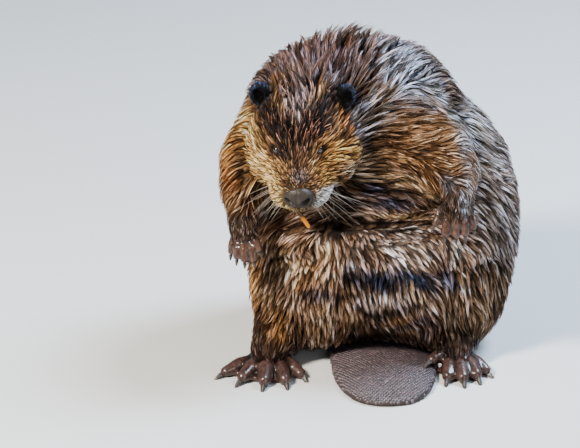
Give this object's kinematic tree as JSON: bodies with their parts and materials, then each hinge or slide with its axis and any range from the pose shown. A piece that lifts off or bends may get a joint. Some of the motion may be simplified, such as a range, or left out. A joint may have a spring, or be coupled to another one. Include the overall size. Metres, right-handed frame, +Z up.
{
  "type": "beaver",
  "caption": "Life-size still beaver sitting up on its rump with its scaly tail laid forward on the floor, head bowed and both forepaws held out over its wet belly.",
  "frame": {"origin": "on the floor in the flat underside of the tail that the beaver sits on, under the middle of its body", "axes": "+Z up; the beaver faces -Y; its own left side is +X"},
  "size_m": [0.3862, 0.4073, 0.388],
  "materials": {
    "wet_fur": "wet brown guard hair in clumps",
    "face_fur": "short damp fur, tan cheeks and dark forehead",
    "bare_skin": "damp dark bare skin",
    "tail_skin": "damp scaly leather",
    "eye": "wet gloss",
    "enamel": "satin orange enamel",
    "horn": "dark horn"
  },
  "bodies": {
    "root": {"trunk": "wet_fur", "neck": "wet_fur", "tail_root": "wet_fur", "head": "face_fur", "tail_blade": "tail_skin", "incisor": "enamel", "foreleg_left": "wet_fur", "hindleg_left": "wet_fur", "forefoot_left": "bare_skin", "hindfoot_left": "bare_skin", "ear_left": "bare_skin", "eye_left": "eye", "foreleg_right": "wet_fur", "hindleg_right": "wet_fur", "forefoot_right": "bare_skin", "hindfoot_right": "bare_skin", "ear_right": "bare_skin", "eye_right": "eye", "foreclaw_left_1": "horn", "foreclaw_left_2": "horn", "foreclaw_left_3": "horn", "foreclaw_left_4": "horn", "foreclaw_left_5": "horn", "foreclaw_right_1": "horn", "foreclaw_right_2": "horn", "foreclaw_right_3": "horn", "foreclaw_right_4": "horn", "foreclaw_right_5": "horn", "hindclaw_left_1": "horn", "hindclaw_left_2": "horn", "hindclaw_left_3": "horn", "hindclaw_left_4": "horn", "hindclaw_left_5": "horn", "hindclaw_right_1": "horn", "hindclaw_right_2": "horn", "hindclaw_right_3": "horn", "hindclaw_right_4": "horn", "hindclaw_right_5": "horn"}
  },
  "joints": []
}
